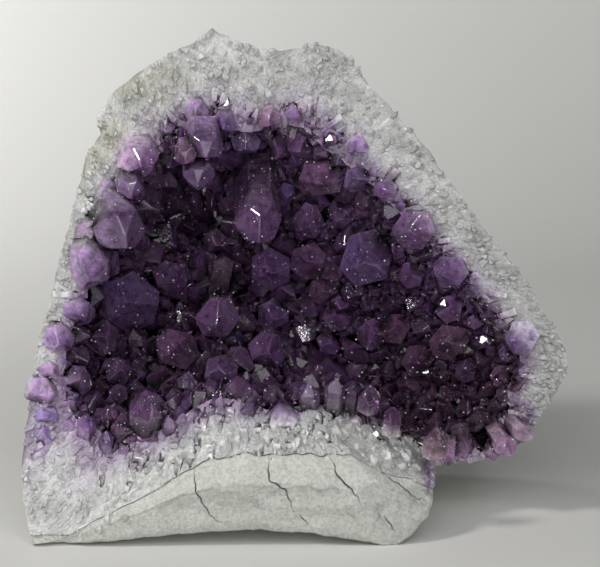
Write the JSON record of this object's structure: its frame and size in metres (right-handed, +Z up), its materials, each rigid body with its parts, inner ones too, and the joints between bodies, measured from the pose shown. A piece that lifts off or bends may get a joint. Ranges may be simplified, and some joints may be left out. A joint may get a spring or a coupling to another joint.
{
  "type": "amethyst crystal geode section",
  "caption": "Standing section of an amethyst geode: a pale rock rind lined with a crust of purple quartz points around an open hollow, resting on a flat underside.",
  "frame": {"origin": "on the flat underside, under the middle of the geode's width, about 20 mm behind the open face", "axes": "+X to the right along the width, +Z up, and the hollow opens towards -Y"},
  "size_m": [0.2005, 0.136, 0.1768],
  "materials": {
    "pale_rock": "chalky, matte weathered rock",
    "amethyst": "clear purple quartz points over milky white quartz, with glassy faces",
    "milky_quartz": "milky white quartz, broken across and granular, turning purple inwards"
  },
  "bodies": {
    "root": {"rind": "pale_rock", "crystal_crust": "amethyst"}
  },
  "joints": []
}
